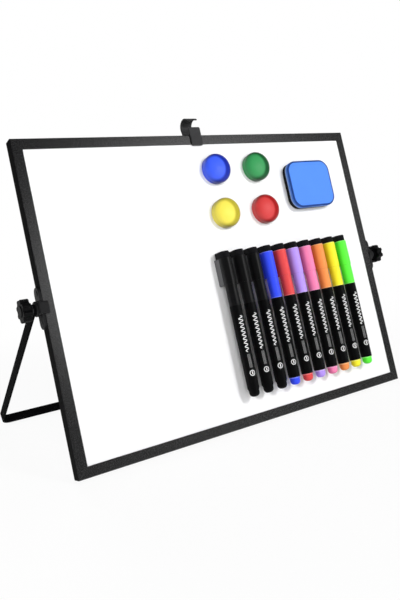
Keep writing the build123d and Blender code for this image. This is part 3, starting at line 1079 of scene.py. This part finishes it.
@dataclass
class Marker:
    """One marker: felt tip, cap, barrel, plug and its printed marks."""

    number: int
    hue: Hue
    radius: float = 6.1
    tip_radius: float = 5.45
    tip_depth: float = 8.5
    tip_height: float = 6.8
    print_turn: float = -12.0
    print_lift: float = 0.07
    wave_start: float = -41.0
    wave_step: float = 0.5
    wave_steps: int = 72
    wave_reach: float = 2.3
    wave_taper: float = 0.3
    ring_place: float = -98.3
    ring_radius: float = 2.5
    ring_steps: int = 32
    bar_half: float = 1.5
    rule_gap: float = 1.1
    rule_ends: Point = (-79.5, -93.0)

    @property
    def label(self) -> str:
        """The marker's name in the model."""
        return f"marker_{self.number:02d}"

    @cached_property
    def u(self) -> float:
        """Where the marker's axis stands across the board."""
        low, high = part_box(f"{self.label}_barrel")
        return (low.x + high.x) / 2 / MM

    def build(self) -> None:
        """Make the felt tip and the printed marks."""
        tip = self._felt_tip()
        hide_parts(f"{self.label}_tip")
        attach(tip, f"{self.label}_cap")
        PressedFelt("pressed_black_felt").on(tip)
        for name, strokes, ink in (
            ("rule", self._white_strokes(), PrintInk("white_print")),
            ("lines", self._grey_strokes(), PrintInk("grey_print", colour=(0.22, 0.22, 0.22))),
        ):
            mark = self._printed(f"{self.label}_{name}", strokes)
            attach(mark, f"{self.label}_pen")
            ink.on(mark)

    def dress(self) -> None:
        """Finish the cap and barrel, and the plug of a coloured marker."""
        word = self.hue.name.lower()
        black = self.hue is Hue.BLACK
        pale_side = tint(96, 96, 98) if black else None
        cap = PenPlastic(f"cap_{word}", colour=self.hue.value, pale_side=pale_side)
        cap.on(frame["nodes"][f"{self.label}_cap"])
        barrel = BarrelPlastic(
            f"barrel_{word}", colour=tint(9, 9, 10), gloss=0.07, sheen=0.42, ink=self.hue.value
        )
        barrel.on(frame["nodes"][f"{self.label}_barrel"])
        if not black:
            cap.on(frame["nodes"][f"{self.label}_plug"])

    def _felt_tip(self) -> bpy.types.Object:
        """Felt tip: round in front, square to the board behind, with softened, slightly ragged edges."""
        front, depth = self.tip_radius - 0.02, self.tip_depth - 0.02
        outline: list[Point] = []
        for step in range(17):
            angle = math.pi * step / 16
            outline.append((front * math.cos(angle), front * math.sin(angle)))
        outline += [(-front, -depth * step / 5) for step in range(1, 6)]
        outline += [(front * (step / 3 - 1), -depth) for step in range(1, 6)]
        outline += [(front, -depth * (1 - step / 5)) for step in range(0, 5)]
        levels = [(0.25, 0.0), (0.05, 0.25), (0.0, 1.2), (0.0, 3.0), (0.0, 5.0)]
        levels += [(0.05, 6.0), (0.2, 6.4), (0.5, 6.65), (1.3, self.tip_height - 0.02)]
        rings: list[list[Vector]] = []
        for inset, level in levels:
            ring = []
            for x, y in shrunk(outline, inset):
                place = Vector((x * 1.1 + self.number * 7, y * 1.1, level * 1.3))
                pull = 1 - 0.012 * (1 + noise.noise(place))
                ring.append(SLOPE.at(self.u + x * pull, CAP_TOP + level, MARKER_AXIS + y * pull))
            rings.append(ring)
        return make_object(f"{self.label}_felt", *stack_rings(rings))

    def _printed(self, name: str, strokes: Sequence[Stroke]) -> bpy.types.Object:
        """Lay strokes on the barrel's front.

        Args:
            name: name of the object.
            strokes: the strokes.

        Returns:
            The object.
        """
        radius = self.radius + self.print_lift
        points: list[Vector] = []
        faces: list[list[int]] = []
        for stroke in strokes:
            flat, quads = stroke.strip()
            faces += [[len(points) + i for i in quad] for quad in quads]
            for a, v in flat:
                turn = a / self.radius + math.radians(self.print_turn)
                points.append(
                    SLOPE.at(self.u + radius * math.sin(turn), v, MARKER_AXIS + radius * math.cos(turn))
                )
        return make_object(name, points, faces, smooth=80.0)

    def _white_strokes(self) -> list[Stroke]:
        """A wavy pen line along the barrel, and a ring with a bar near its tail."""
        wave: list[Point] = []
        for step in range(self.wave_steps + 1):
            swing = self.wave_reach * math.sin(step * math.pi / 4)
            taper = 1 - self.wave_taper * step / self.wave_steps
            wave.append((swing * taper, self.wave_start - self.wave_step * step))
        radius, middle = self.ring_radius, self.ring_place
        turns = [k * math.pi / (self.ring_steps / 2) for k in range(self.ring_steps)]
        ring = tuple((radius * math.cos(turn), middle + radius * math.sin(turn)) for turn in turns)
        bar = ((0.0, middle - self.bar_half), (0.0, middle + self.bar_half))
        return [Stroke(tuple(wave), 0.85), Stroke(ring, 0.8, closed=True), Stroke(bar, 1.1)]

    def _grey_strokes(self) -> list[Stroke]:
        """Three short fine rules between the pen line and the ring."""
        near, far = self.rule_ends
        places = (-self.rule_gap, 0.0, self.rule_gap)
        return [Stroke(((a, near), (a, near - 6.0), (a, far)), 0.6) for a in places]


# ------------------------------------------------------------------ studio


@dataclass(frozen=True)
class Lamp:
    """An oval soft lamp aimed at the board, at an azimuth to the right of straight ahead."""

    name: str
    azimuth: float
    elevation: float
    size: tuple[float, float]
    watts: float
    mirrored: bool = True
    distance: float = 1.6
    aim: tuple[float, float, float] = (0.0, -0.05, 0.14)

    def hang(self) -> None:
        """Put the lamp in the scene."""
        light = bpy.data.lights.new(self.name, "AREA")
        light.shape = "ELLIPSE"
        light.size, light.size_y = self.size
        light.energy = self.watts
        made = bpy.data.objects.new(self.name, light)
        turn, rise = math.radians(self.azimuth), math.radians(self.elevation)
        away = Vector((math.sin(turn) * math.cos(rise), -math.cos(turn) * math.cos(rise), math.sin(rise)))
        made.location = Vector(self.aim) + away * self.distance
        made.rotation_euler = away.to_track_quat("Z", "Y").to_euler()
        made.visible_glossy = self.mirrored
        bpy.context.scene.collection.objects.link(made)
        LOG.info("lamp %s", self.name)


@dataclass
class Studio:
    """Pale floor, white surround and soft lamps."""

    floor_radius: float = 7.0
    floor_sides: int = 96
    floor_sink: float = 0.0003
    floor_tone: Rgb = (0.95, 0.95, 0.95)
    white: Rgb = (1.0, 1.0, 1.0)
    fade: Point = (0.25, 0.7)
    lift: float = 0.92
    mirror_share: float = 0.5
    mirror_edge: Point = (0.35, 0.75)
    room: float = 0.05
    backdrop: tuple[float, float, float] = (0.55, 0.84, 0.0)
    ambient: float = 0.09
    lamps: tuple[Lamp, ...] = (
        Lamp("key", 24.0, 33.0, (0.16, 0.16), 10.2, mirrored=False),
        Lamp("sheen", 32.0, 21.0, (0.85, 0.74), 6.2),
        Lamp("edge", 80.0, 14.0, (0.3, 1.1), 0.5),
        Lamp("front", -20.0, 24.0, (0.3, 0.7), 5.5, mirrored=False),
        Lamp("fill", -50.0, 20.0, (0.3, 0.9), 6.0, mirrored=False),
        Lamp("back", 180.0, 25.0, (0.9, 0.9), 14.0, mirrored=False),
    )

    def build(self) -> None:
        """Make the floor, the surround and the lamps."""
        middle = Vector((0.0, 0.0, -self.floor_sink))
        points, faces = [middle], []
        for side in range(self.floor_sides):
            turn = side * math.pi / (self.floor_sides / 2)
            points.append(middle + Vector((math.cos(turn), math.sin(turn), 0.0)) * self.floor_radius)
            faces.append([0, side + 1, (side + 1) % self.floor_sides + 1])
        floor = make_object("floor", points, faces)
        floor.data.materials.append(self._floor_paint())
        self._surround()
        for lamp in self.lamps:
            lamp.hang()

    def _floor_paint(self) -> bpy.types.Material:
        """Pale paint that turns to plain white away from the object."""
        paint = bpy.data.materials.new("floor_paint")
        paint.use_nodes = True
        graph = Graph(paint.node_tree)
        away = graph.vector("LENGTH", graph.place(), output="Value")
        seen = graph.node("ShaderNodeLightPath", output="Is Camera Ray")
        glossy = seen.other("Is Glossy Ray") * self.mirror_share
        bright = seen.most(seen.other("Is Transmission Ray")).most(glossy)
        matt = graph.shader(Base_Color=rgba(self.floor_tone), Roughness=0.9, Specular_IOR_Level=0.0)
        white = graph.node("ShaderNodeEmission", inputs={"Color": rgba(self.white), "Strength": 1.0})
        share = bright * (self.lift + (1 - self.lift) * away.between(*self.fade))
        mixed = graph.node("ShaderNodeMixShader", inputs={0: share, 1: matt, 2: white})
        graph.node("ShaderNodeOutputMaterial", inputs={"Surface": mixed})
        return paint

    def _surround(self) -> None:
        """White backdrop where it is seen or mirrored, softer where it only lights, dim in front."""
        world = bpy.data.worlds.new("surround")
        bpy.context.scene.world = world
        world.use_nodes = True
        graph = Graph(world.node_tree)
        seen = graph.node("ShaderNodeLightPath", output="Is Camera Ray")
        mirrored = seen.other("Is Glossy Ray").most(seen.other("Is Transmission Ray"))
        way = graph.node("ShaderNodeTexCoord", output="Generated")
        facing = graph.vector("DOT_PRODUCT", way, Vector(self.backdrop).normalized(), output="Value")
        bright = seen.most(mirrored * facing.between(*self.mirror_edge) * self.mirror_share)
        soft = graph.mix(mirrored, shade(self.white, self.ambient), shade(self.white, self.room))
        colour = graph.mix(bright, soft, self.white)
        back = graph.node("ShaderNodeBackground", inputs={"Color": colour, "Strength": 1.0})
        graph.node("ShaderNodeOutputWorld", inputs={"Surface": back})


@dataclass
class Viewpoint:
    """The camera: a little above the board's middle and well to its left."""

    place: tuple[float, float, float] = (-0.3769, -0.58678, 0.23791)
    turn: tuple[float, float, float] = (80.15380, 4.04929, -33.16985)
    lens: float = 38.424
    clip: Point = (0.02, 50.0)

    def set_up(self) -> None:
        """Put the camera in the scene."""
        lens = bpy.data.cameras.new("viewpoint")
        lens.lens = self.lens
        lens.clip_start, lens.clip_end = self.clip
        made = bpy.data.objects.new("viewpoint", lens)
        made.location = self.place
        made.rotation_euler = Euler([math.radians(angle) for angle in self.turn])
        bpy.context.scene.collection.objects.link(made)
        bpy.context.scene.camera = made


def main() -> None:
    """Dress the easel and set up the studio."""
    logging.basicConfig(level=logging.INFO, format="%(name)s: %(message)s")
    bpy.context.scene.view_settings.view_transform = "Standard"
    FramedBoard().dress()
    PivotHardware().dress()
    StandAndClip().dress()
    RoundMagnets().dress()
    Eraser().build()
    coloured = [hue for hue in Hue if hue is not Hue.BLACK]
    for number, hue in enumerate([Hue.BLACK] * BLACK_MARKERS + coloured, 1):
        marker = Marker(number, hue)
        marker.build()
        marker.dress()
    Studio().build()
    Viewpoint().set_up()


if __name__ == "__main__":
    main()
